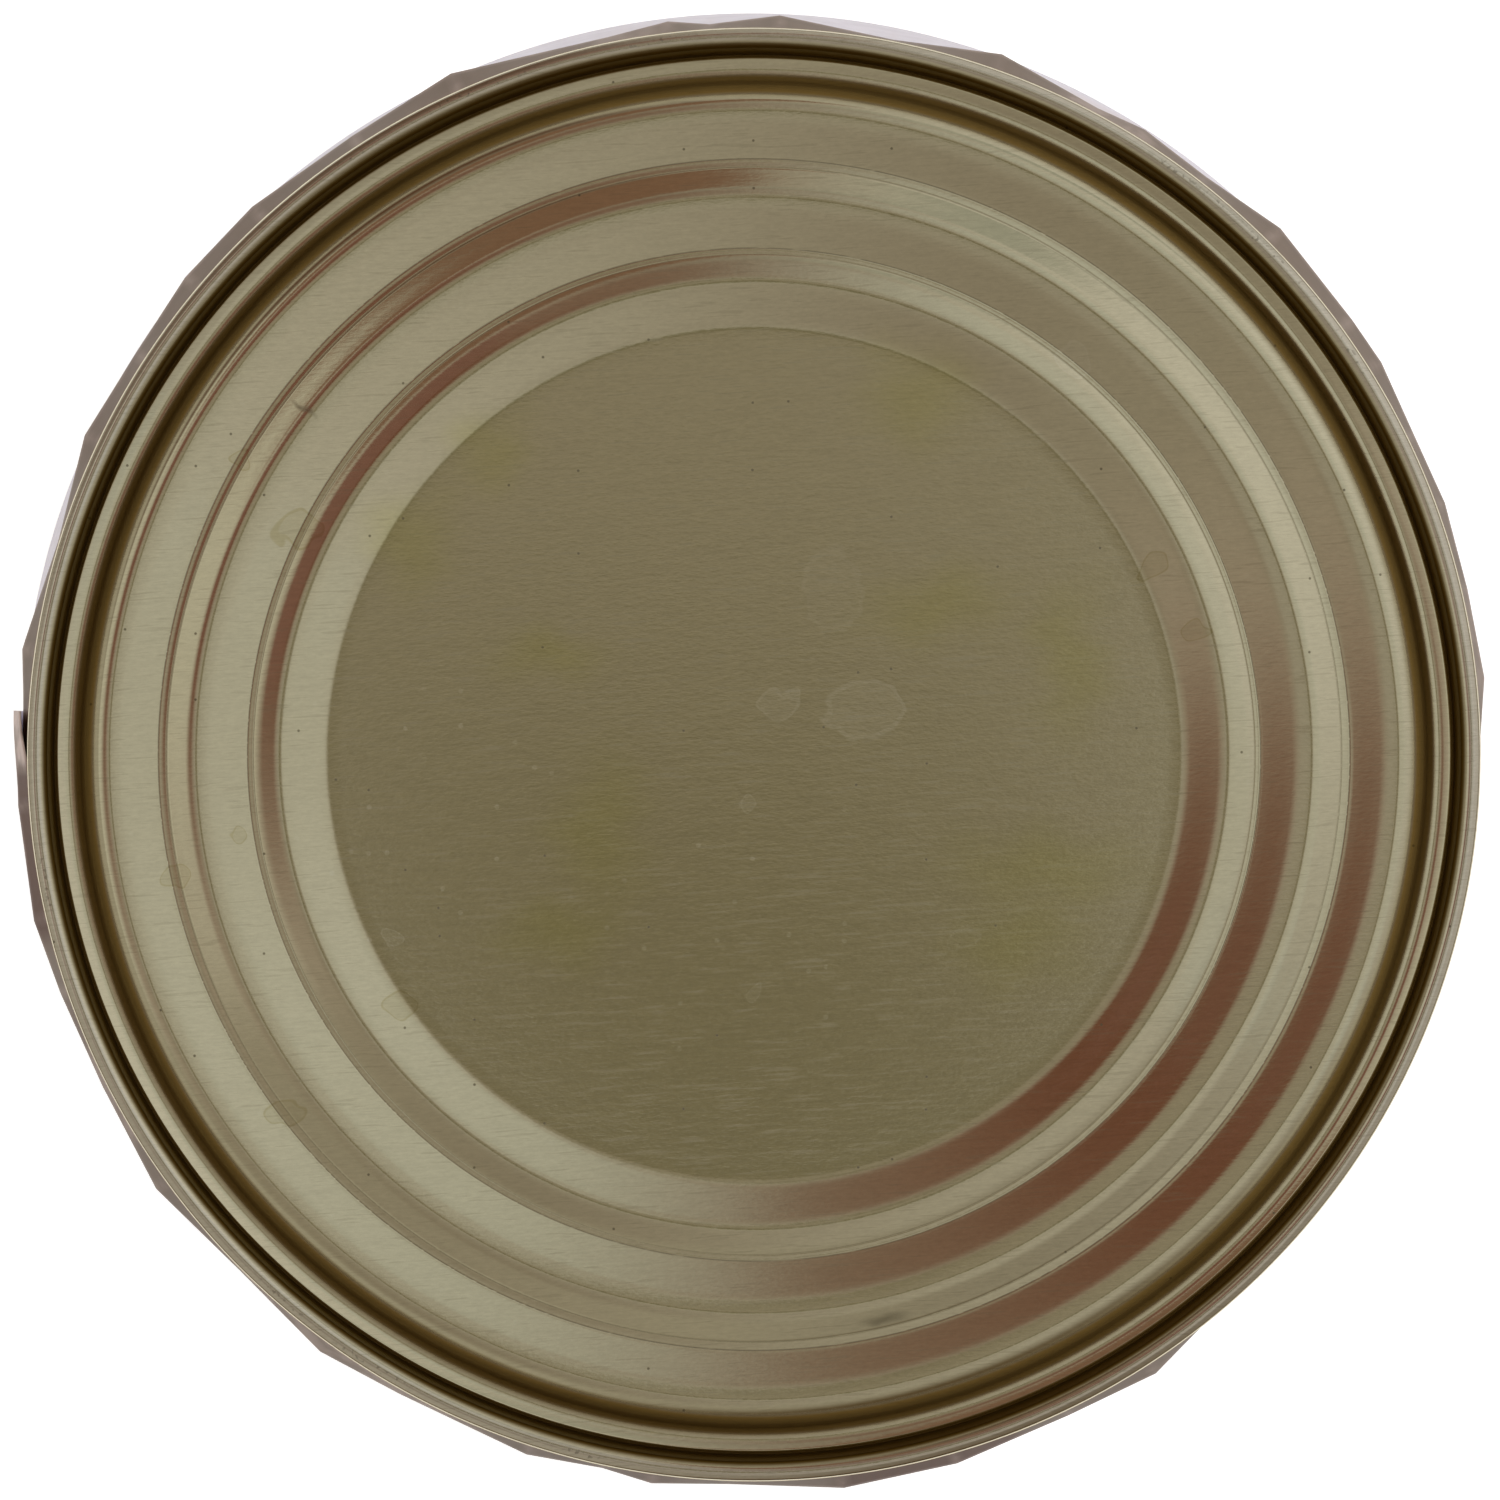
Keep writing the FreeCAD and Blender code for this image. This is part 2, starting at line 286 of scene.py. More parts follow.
# %% The creases around the margin
# Bearing in degrees from +X, and how far in mm the paper stands out past the seam there.
CREASES = np.array((
    (2.0, 0.35), (6.0, 0.83), (13.0, 0.69), (20.0, 0.89), (26.0, 0.76), (32.0, 1.20),
    (36.0, 1.17), (45.0, 1.51), (52.0, 0.76), (58.0, 1.00), (62.0, 0.65), (70.5, 1.41),
    (79.0, 0.38), (88.0, 1.17), (93.5, 0.62), (96.7, 1.07), (101.5, 0.65), (114.0, 1.58),
    (123.0, 1.03), (132.5, 1.41), (140.0, 1.38), (147.0, 1.00), (154.5, 1.31),
    (163.0, 0.35), (171.8, 1.17), (176.6, 0.83), (184.0, 1.03), (193.0, 1.13), (199.0, 0.75),
    (207.0, 0.59), (216.0, 1.13), (225.0, 0.41), (234.0, 1.07), (241.0, 0.59),
    (252.0, 0.93), (258.0, 0.48), (262.0, 0.93), (268.0, 0.52), (277.0, 1.13),
    (286.0, 1.03), (295.5, 0.65), (303.0, 1.07), (309.0, 0.17), (322.0, 0.17),
    (335.0, 0.17), (348.0, 0.17),
))
SLEEVE_RADIUS, SLEEVE_OFFSET, SLEEVE_BEARING = 50.49, 0.85, 100.0
CREASE_HEIGHT, ROUND_HEIGHT, HEM_HEIGHT = 110.5, 100.0, 12.0
EDGE_RADIUS, EDGE_SHARE, HEM_TUCK = 49.35, 0.15, 0.35
PAPER = 0.12
LAP_BEARING, LAP_LIFT, LAP_FADE, LAP_CORNER = 176.6, 0.485, 8.0, 0.43
label_bottom, label_top = label_box[0][2] / MM, label_box[1][2] / MM
print("%d creases, paper from %.1f to %.1f mm" % (len(CREASES), label_bottom, label_top))


# %% The sleeve as a function of bearing and height
def round_part(bearing):
    """Radius of a circle whose centre stands off the axis: R + e cos(bearing - towards)."""
    return SLEEVE_RADIUS + SLEEVE_OFFSET * np.cos(np.radians(bearing - SLEEVE_BEARING))


def facet_part(bearing, base, share):
    """Radius of the straight chords between creases that stand share * size past the base."""
    angle = np.radians(np.append(CREASES[:, 0], CREASES[0, 0] + 360))
    reach = base + share * np.append(CREASES[:, 1], CREASES[0, 1])
    turn = np.radians((bearing - CREASES[0, 0]) % 360) + angle[0]
    k = np.clip(np.searchsorted(angle, turn, side="right") - 1, 0, len(CREASES) - 1)
    a, b, ra, rb = angle[k], angle[k + 1], reach[k], reach[k + 1]
    return ra * rb * np.sin(b - a) / (ra * np.sin(turn - a) + rb * np.sin(b - turn))


def sleeve_radius(bearing, height):
    """Round below, facets at the crease height, drawn in to the seam at the upper edge."""
    circle = round_part(bearing)
    crease = facet_part(bearing, seam_radius / MM, 1.0)
    edge = facet_part(bearing, EDGE_RADIUS, EDGE_SHARE)
    up = np.clip((height - ROUND_HEIGHT) / (CREASE_HEIGHT - ROUND_HEIGHT), 0, 1)
    over = np.clip((height - CREASE_HEIGHT) / (label_top - CREASE_HEIGHT), 0, 1)
    hem = 1 - np.clip((height - label_bottom) / (HEM_HEIGHT - label_bottom), 0, 1)
    radius = circle + (crease - circle) * up
    radius = radius + (edge - radius) * over
    return radius - HEM_TUCK * hem


def layer(bearing, height):
    """How far a layer lies off the plain sleeve: the lap's free edge is lifted, most at its
    upper corner, and the beginning of the sheet, a turn further on, lies just under the lap."""
    past = bearing - LAP_BEARING
    over = np.clip((height - CREASE_HEIGHT) / (label_top - CREASE_HEIGHT), 0, 1)
    lifted = (LAP_LIFT + LAP_CORNER * over) * (1 - ease(past / LAP_FADE))
    under = -(PAPER + 0.05) * ease((past - 354) / 6)
    return lifted + under


def sheet(name, bearings, heights):
    """A thin wound sheet: its outer face, then its inner face, then the two cut ends."""
    bearing, height = np.meshgrid(bearings, heights)
    radius = sleeve_radius(bearing, height) + layer(bearing, height)
    radius = np.concatenate([radius, radius[::-1] - PAPER])
    bearing = np.concatenate([bearing, bearing[::-1]])
    height = np.concatenate([height, height[::-1]])
    angle = np.radians(bearing)
    points = np.stack([radius * np.cos(angle), radius * np.sin(angle), height], axis=-1)
    rows, columns = radius.shape
    faces = grid_faces(rows, columns, closed_rows=True)
    faces = faces.reshape(rows, columns, 4)[:, :-1].reshape(-1, 4)
    low = np.arange(rows // 2 - 1)
    for column, flip in ((0, False), (columns - 1, True)):
        outer_row, inner_row = low, rows - 1 - low
        ends = np.stack([outer_row, outer_row + 1, inner_row - 1, inner_row], axis=1)
        ends = ends * columns + column
        faces = np.concatenate([faces, ends[:, ::-1] if flip else ends])
    return mesh_piece(name, points.reshape(-1, 3) * MM, faces), bearing, height


# %% Wind the label
heights = np.concatenate([
    np.linspace(label_bottom, HEM_HEIGHT, 8)[:-1],
    np.linspace(HEM_HEIGHT, ROUND_HEIGHT, 30)[:-1],
    np.linspace(ROUND_HEIGHT, CREASE_HEIGHT, 14)[:-1],
    np.linspace(CREASE_HEIGHT, label_top, 8),
])
folds = np.concatenate([CREASES[:, 0], CREASES[:, 0] + 360])
folds = folds[(folds > LAP_BEARING + 0.01) & (folds < LAP_BEARING + 372)]
folds = np.concatenate([[LAP_BEARING], folds, [LAP_BEARING + 372]])
bearings = np.concatenate([np.linspace(a, b, max(2, int((b - a) / 0.7)), endpoint=False)
                           for a, b in zip(folds[:-1], folds[1:])] + [folds[-1:]])
label, bearing, height = sheet("label_sheet", bearings, heights)
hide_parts("paper_label")
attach(label, "root")
print(label.name, len(label.data.polygons), "faces")

# %% Wear, painted shade and painted light on the label
# A facet mark is (bearing, half width in degrees, soft edge, strength). Facets drawn darker are
# painted shade, and facets drawn lighter are painted light. Print wears off along the creases,
# the bent upper line and the lap's lifted corner. At the cut edge the paper's pale core shows with
# a painted highlight on the lit side; on the side that lies in the seam's shade, the cut edge is
# drawn dark, a painted shade.
SHADED_FACETS = ((185.5, 8.0, 2.5, 0.95), (193.4, 0.4, 0.5, 1.0), (284, 6.5, 2.0, 0.85), (259, 4, 2, 0.3),
          (205, 4, 3, 0.2), (150, 6, 4, 0.12), (125, 10, 6, 0.08))
# Listed next are facets drawn lighter: painted light.
LIT_FACETS = ((235, 9, 6, 0.35), (61, 3, 2, 0.35), (208, 3, 2, 0.3), (9, 3, 2, 0.2), (100, 2, 1, 0.2))
SHADED_SIDE = ((245, 52, 12, 1.0),)
# The cut edge band's width here also sets how far its painted highlight and painted shade reach.
CREASE_WEAR_DEGREES, LINE_WEAR, CUT_EDGE_WIDTH = 0.35, 0.25, 0.3
LAP_WORN_DEGREES, LAP_SOFT_DEGREES = 3.5, 1.5


def spread(marks, bearing):
    """The strongest of a list of marks around the can at each bearing."""
    return np.max([strength * hill((bearing - middle + 180) % 360 - 180, half, soft)
                   for middle, half, soft, strength in marks], axis=0)


turn = bearing % 360
to_crease = np.min(np.abs((turn[..., None] - CREASES[:, 0] + 180) % 360 - 180), axis=-1)
free = ease((height - ROUND_HEIGHT) / (CREASE_HEIGHT - ROUND_HEIGHT))
at_crease = (1 - ease(to_crease / CREASE_WEAR_DEGREES / 2)) * free
at_line = 1 - ease(np.abs(height - CREASE_HEIGHT) / LINE_WEAR / 2)
at_cut = 1 - ease((label_top - height) / CUT_EDGE_WIDTH)
at_lap = (1 - ease((bearing - LAP_BEARING - LAP_WORN_DEGREES) / LAP_SOFT_DEGREES)) * free
shaded = spread(SHADED_SIDE, bearing)
# Pale: real wear along the creases, the bent line and the lap, and painted light on the cut edge's
# lit side and on the lighter facets.
wear_and_painted_light = np.max([0.2 * at_crease, 0.28 * at_line, 0.25 * at_cut * (1 - shaded), at_lap,
               spread(LIT_FACETS, bearing) * free], axis=0)
store(label, "wear_and_painted_light", wear_and_painted_light.ravel())
# Dark: painted shade on the facets turned from the light and on the cut edge in the seam's shade.
painted_shade = np.maximum(spread(SHADED_FACETS, bearing) * free * (1 - at_lap), 0.8 * at_cut * shaded)
store(label, "painted_shade", painted_shade.ravel())
print("worn points:", int((wear_and_painted_light > 0.1).sum()))

# %% [markdown]
# ## Small helpers for materials
# A material is a tree of nodes. These helpers add a node, set its sockets by name and join it
# to others, so that each material below reads as a short recipe.

# %% Material helpers
class Recipe:
    """A material's or the world's node tree. Each method adds nodes and gives their output."""

    def __init__(self, owner):
        owner.use_nodes = True
        self.tree = owner.node_tree
        self.tree.nodes.clear()

    def add(self, kind, settings=None, **sockets):
        """Adds a node. A socket's value is a number, a tuple, or another node's output."""
        node = self.tree.nodes.new(kind)
        for key, value in (settings or {}).items():
            setattr(node, key, value)
        for key, value in sockets.items():
            place = int(key[1:]) if key[0] == "_" and key[1:].isdigit() else key.replace("_", " ")
            socket = node.inputs[place]
            if isinstance(value, bpy.types.NodeSocket):
                self.tree.links.new(value, socket)
            else:
                socket.default_value = value
        return node

    def math(self, operation, first, second=0.0, third=0.0):
        """One arithmetic step. MULTIPLY_ADD is first times second, plus third."""
        return self.add("ShaderNodeMath", {"operation": operation}, _0=first, _1=second,
                        _2=third).outputs[0]

    def vector(self, operation, **sockets):
        """One step on vectors or colours."""
        return self.add("ShaderNodeVectorMath", {"operation": operation}, **sockets).outputs[0]

    def length(self, vector):
        """A vector's length."""
        node = self.add("ShaderNodeVectorMath", {"operation": "LENGTH"}, _0=vector)
        return node.outputs["Value"]

    def ramp(self, value, low, high, start=0.0, end=1.0):
        """A smooth step of a value from low to high, written between start and end."""
        node = self.add("ShaderNodeMapRange", {"interpolation_type": "SMOOTHSTEP"}, Value=value,
                        From_Min=low, From_Max=high, To_Min=start, To_Max=end)
        return node.outputs[0]

    def blend(self, share, first, second):
        """A colour between two colours."""
        node = self.add("ShaderNodeMix", {"data_type": "RGBA"}, _0=share, _6=first, _7=second)
        return node.outputs[2]

    def noise(self, vector, scale, detail=3.0, roughness=0.5):
        """Soft random values from 0 to 1."""
        node = self.add("ShaderNodeTexNoise", None, Vector=vector, Scale=scale, Detail=detail,
                        Roughness=roughness)
        return node.outputs["Fac"]

    def band(self, value, middle, half, soft, height=1.0):
        """A smooth hill: height within half of the middle, and 0 a soft edge further out."""
        away = self.math("ABSOLUTE", self.math("SUBTRACT", value, middle))
        return self.ramp(away, half, half + soft, height, 0.0)

    def reach(self, vector, x, y, half_x, half_y, turn=0.0):
        """Distance from a mark's middle in the mark's own half sizes, so 1 is its outline."""
        own = self.add("ShaderNodeMapping", {"vector_type": "TEXTURE"}, Vector=vector,
                       Location=(x, y, 0), Rotation=(0, 0, math.radians(turn)),
                       Scale=(half_x, half_y, 1)).outputs[0]
        return self.length(own)

    def nearest(self, vector, marks):
        """The least reach over a list of marks: below 1 inside any of them."""
        least = 9.0
        for x, y, half_x, half_y, turn in marks:
            own = self.reach(vector, x * MM, y * MM, half_x * MM, half_y * MM, turn)
            least = self.math("MINIMUM", own, least)
        return least

    def stored(self, name):
        """A number that the mesh carries at each point."""
        return self.add("ShaderNodeAttribute", {"attribute_name": name}).outputs["Fac"]

    def spots(self, vector, scale, small, large, rare):
        """Round dots in a few random cells: those whose own random value passes rare."""
        cell = self.add("ShaderNodeTexVoronoi", {"voronoi_dimensions": "2D"}, Vector=vector,
                        Scale=scale).outputs
        own = self.add("ShaderNodeSeparateColor", None, Color=cell["Color"]).outputs[0]
        chosen = self.math("GREATER_THAN", own, rare)
        return self.math("MULTIPLY", self.ramp(cell["Distance"], small, large, 1.0, 0.0), chosen)

    def grained(self, vector, size, turn=0.0):
        """Coordinates in which one grain of this size in mm spans 1, turned about Z."""
        return self.add("ShaderNodeMapping", {"vector_type": "TEXTURE"}, Vector=vector,
                        Rotation=(0, 0, math.radians(turn)),
                        Scale=tuple(length * MM for length in size)).outputs[0]

    def surface(self, **sockets):
        """The last step of a material: one Principled shader and the output."""
        shader = self.add("ShaderNodeBsdfPrincipled", None, **sockets)
        self.add("ShaderNodeOutputMaterial", None, Surface=shader.outputs[0])


# %% [markdown]
# ## Wear and painted shade that follow the rings
# The two deep grooves are drawn dark, a painted shade, and so are the fine lines the press tool
# leaves; the crown of the seam is rubbed by shelves and by other cans. All of these follow
# the rings, so they are worked out from each point's radius and bearing and kept on the mesh.

# %% Marks that follow the rings
# These are stored on the mesh as one number per point. A shaded groove, drawn dark as painted
# shade, is (middle radius, half width, soft edge, strength), and a ring without a strength is as
# strong as it can be. A scuff is (bearing, half length in degrees, strength).
SHADED_GROOVES = ((45.88, 0.5, 0.45, 0.9), (48.2, 0.14, 0.42, 1.0))
SCUFFS = ((34, 3, 0.8), (46, 7, 1.0), (54, 3, 0.8), (98, 4, 0.8), (113, 6, 0.9), (124, 3, 0.7),
          (191, 4, 0.8), (229, 3, 0.7), (238, 4, 0.9), (256, 2, 0.9))
SCUFFED_RING = (49.1, 0.12, 0.1)
BARE_RING = (49.3, 0.4, 0.3)


def ring(middle, half, soft):
    """1 on a ring of the shown end, falling smoothly to 0 on both sides."""
    return hill(radius - middle, half, soft)


flat = np.empty(len(end_up.data.vertices) * 3, dtype=np.float32)
end_up.data.vertices.foreach_get("co", flat)
x, y = flat.reshape(-1, 3).T[:2] / MM
radius, bearing = np.hypot(x, y), np.degrees(np.arctan2(y, x))
# The pressed lines' darkness: painted shade in the fine creases.
store(end_up, "crease", np.max([shade_strength * np.clip(1 - np.abs(radius - middle) / CREASE_HALF, 0, 1)
                                for middle, shade_strength in CREASES_PRESSED], axis=0))
# The deep grooves' darkness: painted shade.
store(end_up, "groove_shade", np.max([strength * ring(middle, half, soft)
                              for middle, half, soft, strength in SHADED_GROOVES], axis=0))
along = spread([(middle, half / 2, half / 2, strength) for middle, half, strength in SCUFFS],
               bearing)
store(end_up, "scuff", along * ring(*SCUFFED_RING))
store(end_up, "bare", ring(*BARE_RING))
print("scuffed points:", int((along > 0.5).sum()))

# %% [markdown]
# ## Tinplate
# Tinplate is steel strip with a thin coat of tin, and the ends of food cans are lacquered
# too, which tints them a pale olive gold. Rolling leaves a fine short grain in the strip, so
# it runs in straight lines right across the disc and not in circles, whatever the beads do.
# The shown end has been handled and wetted: the lacquer is yellower in soft patches, drops
# of water have dried into pale outlines, and specks of dirt stick to it. These marks are drawn
# by formula from the lists below, so each can be moved or left out; a painted picture would
# tie them to one size.

# %% Marks that lie anywhere on the shown end
# Each is (x, y, half width, half height, turn), in mm from the axis and degrees.
WATER_PLAIN = (
    (1.54, 3.38, 1.2, 1.15, 0), (7.5, 3.05, 2.75, 1.95, 6), (-24.7, -12.4, 0.75, 0.75, 0),
    (-0.6, -3.45, 0.55, 0.6, 0), (0.1, -16.3, 0.5, 0.5, 0),
)
WATER_FAINT = (
    (5.4, 11.2, 2.0, 2.8, 8), (-22.8, -0.5, 0.6, 0.5, 30), (-21.0, -17.9, 0.7, 0.65, 0),
    (4.3, -21.2, 1.0, 0.5, 0), (14.2, -12.6, 1.1, 0.7, 20), (22.0, 27.0, 1.1, 1.3, 0),
)
LACQUER_PATCHES = (
    (-10.5, -5.2, 2.9, 4.8, 0), (-12.9, -12.0, 4.0, 2.2, 8), (-14.3, 6.8, 3.6, 1.5, 5),
    (-18.0, 20.8, 3.2, 2.0, 40), (-23.2, 14.7, 2.6, 3.4, -30), (11.3, 24.6, 3.8, 3.2, -30),
    (12.7, 10.2, 4.6, 2.4, 4), (19.5, -7.9, 6.0, 2.6, 4), (18.5, -12.7, 4.6, 2.8, 20),
    (21.6, 6.8, 2.4, 5.0, 0),
)
WATER_YELLOW = (
    (-31.2, 15.3, 1.45, 1.3, 0), (-39.5, -8.4, 0.9, 0.9, 0), (-32.0, -24.5, 1.25, 0.9, 0),
    (-35.2, -5.5, 0.6, 0.6, 0), (-24.2, -17.2, 1.0, 1.0, 0), (-34.9, 20.1, 0.8, 0.7, 0),
    (30.2, 8.5, 0.9, 0.7, 0), (27.3, 13.0, 1.1, 0.8, 40),
)
SMUDGES = ((8.9, -38.6, 1.6, 0.4, 13), (-30.8, 23.6, 0.9, 0.3, -40))
SPLASHED = ((0.5, -12.5, 12.0, 11.0, 0), (-21.0, -6.0, 8.0, 12.0, 0))


def cover(marks, inner, outer):
    """1 inside the nearest of a list of soft marks, down to 0 outside; edges waver a little."""
    across = x + 0.7 * np.sin(0.9 * y) + 0.4 * np.sin(2.3 * y + 1)
    along = y + 0.5 * np.sin(1.1 * x + 2)
    least = np.full(len(x), outer)
    for at_x, at_y, half_x, half_y, turn in marks:
        c, s = math.cos(math.radians(turn)), math.sin(math.radians(turn))
        own_x = (c * (across - at_x) + s * (along - at_y)) / half_x
        own_y = (c * (along - at_y) - s * (across - at_x)) / half_y
        least = np.minimum(least, np.hypot(own_x, own_y))
    return 1 - ease((least - inner) / (outer - inner))


# The two wide, soft lists are kept on the mesh, and the small, sharp marks are drawn by the
# material, because the mesh's points stand half a millimetre apart.
LACQUER_STRENGTH, SPLASH_LEAST = 0.75, 0.1
splashed = SPLASH_LEAST + (1 - SPLASH_LEAST) * cover(SPLASHED, 0.6, 1.2)
store(end_up, "lacquer", LACQUER_STRENGTH * cover(LACQUER_PATCHES, 0.0, 1.7))
store(end_up, "splashed", splashed)
print("splashed points:", int((splashed > 0.5).sum()))

# %% Colours and grain of the tinplate
TIN = (0.55, 0.52, 0.38, 1.0)
TIN_LACQUER = (0.53, 0.51, 0.28, 1.0)
TIN_WATER = (0.64, 0.62, 0.50, 1.0)
TIN_YELLOW = (0.45, 0.41, 0.25, 1.0)
TIN_BARE = (0.57, 0.54, 0.46, 1.0)
# The next two colours are painted shade in the deep grooves, by the countersink wall and by the
# chuck wall.
WALL_SHADE = (0.25, 0.145, 0.018, 1.0)
CHUCK_SHADE = (0.150, 0.095, 0.024, 1.0)
# The next colour darkens the grain streaks, smudges, specks and scuffs, and is painted shade in
# the pressed lines.
GRIME_AND_SHADE = (0.05, 0.035, 0.012, 1.0)
EDGE_TINT = (0.85, 0.75, 0.50, 1.0)
GRAIN_TURN = 3.5
SHORT_GRAIN, LONG_GRAIN = (0.5, 0.19, 0.3), (2.8, 0.2, 1.1)
SHORT_TONE, LONG_TONE = 0.22, 0.20
SMOOTH, ROUGHER_DARK, ROUGHER_IN_GROOVES = 0.085, 0.25, 0.35
WALL_ENDS, CHUCK_STARTS, WALL_MATT = 46.5 * MM, 47.5 * MM, 0.55


def dried_drops(recipe, plan, loose):
    """How strongly dried water shows: an outline and half as much inside each mark, and a few
    small random dots where the end was splashed."""
    shown = recipe.math("MULTIPLY", recipe.spots(plan, 800.0, 0.10, 0.17, 0.92),
                        recipe.stored("splashed"))
    for marks, strength in ((WATER_PLAIN, 0.8), (WATER_FAINT, 0.3)):
        reach = recipe.nearest(loose, marks)
        fill = recipe.ramp(reach, 0.95, 1.05, 0.5 * strength, 0.0)
        rim = recipe.band(reach, 0.95, 0.04, 0.10, strength)
        shown = recipe.math("MAXIMUM", shown, recipe.math("MAXIMUM", fill, rim))
    return shown


def yellow_drops(recipe, loose):
    """How strongly the yellow drops show: a narrow strong outline and a weak inside."""
    reach = recipe.nearest(loose, WATER_YELLOW)
    return recipe.math("MAXIMUM", recipe.ramp(reach, 0.9, 1.05, 0.35, 0.0),
                       recipe.band(reach, 0.95, 0.03, 0.09, 0.8))


def dark_marks(recipe, plan, loose, streak):
    """The strongest of smudges, random specks, the pressed lines' painted shade broken by the
    grain, and scuffs.
    """
    smudge = recipe.ramp(recipe.nearest(loose, SMUDGES), 0.0, 1.6, 0.45, 0.0)
    speck = recipe.math("MULTIPLY", recipe.spots(plan, 420.0, 0.025, 0.05, 0.93), 0.6)
    # Painted shade in the pressed lines, broken by the grain.
    line = recipe.math("MULTIPLY", recipe.stored("crease"), recipe.ramp(streak, 0.30, 0.42))
    picked = recipe.ramp(recipe.noise(plan, 2600.0, 1.0), 0.54, 0.68, 0.0, 0.45)
    scuff = recipe.math("MULTIPLY", recipe.stored("scuff"), picked)
    return recipe.math("MAXIMUM", recipe.math("MAXIMUM", smudge, speck),
                       recipe.math("MAXIMUM", line, scuff))


# %% The tinplate material
def tinplate(name, wear_and_painted_light):
    """Grained lacquered tin. With the second argument set it also carries the marks listed above:
    stains and wear, and painted shade in the deep grooves and the pressed lines.
    """
    material = bpy.data.materials.new(name)
    recipe = Recipe(material)
    place = recipe.add("ShaderNodeTexCoord").outputs["Object"]
    short = recipe.noise(recipe.grained(place, SHORT_GRAIN, GRAIN_TURN), 1.0, 2.0, 0.6)
    streak = recipe.noise(recipe.grained(place, LONG_GRAIN, GRAIN_TURN), 1.0, 1.0)
    dark = recipe.ramp(streak, 0.58, 0.74, 0.0, 0.16)
    colour, metal = TIN, 1.0
    if wear_and_painted_light:
        split = recipe.add("ShaderNodeSeparateXYZ", None, Vector=place).outputs
        plan = recipe.add("ShaderNodeCombineXYZ", None, X=split["X"], Y=split["Y"]).outputs[0]
        drift = recipe.math("SUBTRACT", recipe.noise(plan, 800.0, 0.0), 0.5)
        drift = recipe.math("MULTIPLY", drift, 1.6 * MM)
        drift = recipe.vector("SCALE", _0=(1, 0.6, 0), Scale=drift)
        loose = recipe.vector("ADD", _0=plan, _1=drift)
        colour = recipe.blend(recipe.stored("lacquer"), colour, TIN_LACQUER)
        colour = recipe.blend(dried_drops(recipe, plan, loose), colour, TIN_WATER)
        colour = recipe.blend(yellow_drops(recipe, loose), colour, TIN_YELLOW)
        dark = recipe.math("MAXIMUM", dark, dark_marks(recipe, plan, loose, streak))
        colour = recipe.blend(recipe.stored("bare"), colour, TIN_BARE)
        # Painted shade in the two deep grooves: drawn dark brown, less metallic and rougher.
        groove_shaded = recipe.stored("groove_shade")
        outward = recipe.ramp(recipe.length(plan), WALL_ENDS, CHUCK_STARTS)
        groove_shade = recipe.blend(outward, WALL_SHADE, CHUCK_SHADE)
        colour = recipe.blend(groove_shaded, colour, groove_shade)
        matt = recipe.math("MULTIPLY_ADD", outward, -WALL_MATT, WALL_MATT)
        metal = recipe.math("SUBTRACT", 1.0, recipe.math("MULTIPLY", groove_shaded, matt))
    colour = recipe.blend(dark, colour, GRIME_AND_SHADE)
    tone = recipe.math("ADD", recipe.math("MULTIPLY", short, SHORT_TONE),
                       recipe.math("MULTIPLY", streak, LONG_TONE))
    tone = recipe.math("ADD", tone, 1 - (SHORT_TONE + LONG_TONE) / 2)
    colour = recipe.vector("SCALE", _0=colour, Scale=tone)
    rough = recipe.math("ADD", recipe.math("MULTIPLY", dark, ROUGHER_DARK), SMOOTH)
    if wear_and_painted_light:
        rough = recipe.math("ADD", rough, recipe.math("MULTIPLY", groove_shaded, ROUGHER_IN_GROOVES))
    bump = recipe.add("ShaderNodeBump", None, Strength=0.10, Distance=0.02 * MM, Height=short)
    recipe.surface(Base_Color=colour, Metallic=metal, Roughness=rough,
                   Specular_Tint=EDGE_TINT, Normal=bump.outputs[0])
    print(name, len(recipe.tree.nodes), "nodes")
    return material


end_up.data.materials.append(tinplate("tinplate_shown", True))
plain_tin = tinplate("tinplate_plain", False)
end_down.data.materials.append(plain_tin)
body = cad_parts["can_body"]
body.data.materials.clear()
body.data.materials.append(plain_tin)

# %% [markdown]
# ## Printed paper
# The label is thin paper with a matt face, worn pale along its creases and at the lap. Its cut
# edge is pale with a painted highlight on the lit side and dark with painted shade on the other,
# and some facets carry painted shade or painted light. Its print is kept to plain fields: a brown
# margin at the top and bottom and a pale lavender field between. They follow height, so they
# need no unwrapped map.

# %% The paper material
MARGIN = (0.185, 0.140, 0.110, 1.0)
FIELD = (0.74, 0.715, 0.82, 1.0)
# The next colour is the paper's pale core and also a painted highlight; the one after it is
# painted shade.
CORE_AND_HIGHLIGHT = (0.58, 0.47, 0.44, 1.0)
SHADE_TONE = (0.085, 0.034, 0.016, 1.0)
TOP_MARGIN_LOW, BOTTOM_MARGIN_HIGH, PRINT_EDGE = 110.2, 7.9, 0.2
PAPER_ROUGHNESS, PAPER_GLOSS = 0.5, 0.15
paper = bpy.data.materials.new("label_paper")
recipe = Recipe(paper)
place = recipe.add("ShaderNodeTexCoord").outputs["Object"]
level = recipe.add("ShaderNodeSeparateXYZ", None, Vector=place).outputs["Z"]
fibre = recipe.noise(place, 2400.0, 2.0)
blotch = recipe.noise(place, 500.0, 2.0)
top = recipe.ramp(level, TOP_MARGIN_LOW * MM, (TOP_MARGIN_LOW + PRINT_EDGE) * MM)
bottom = recipe.ramp(level, BOTTOM_MARGIN_HIGH * MM, (BOTTOM_MARGIN_HIGH + PRINT_EDGE) * MM,
                     1.0, 0.0)
printed = recipe.blend(recipe.math("MAXIMUM", top, bottom), FIELD, MARGIN)
# Painted shade: darker facets and the shaded cut edge.
printed = recipe.blend(recipe.stored("painted_shade"), printed, SHADE_TONE)
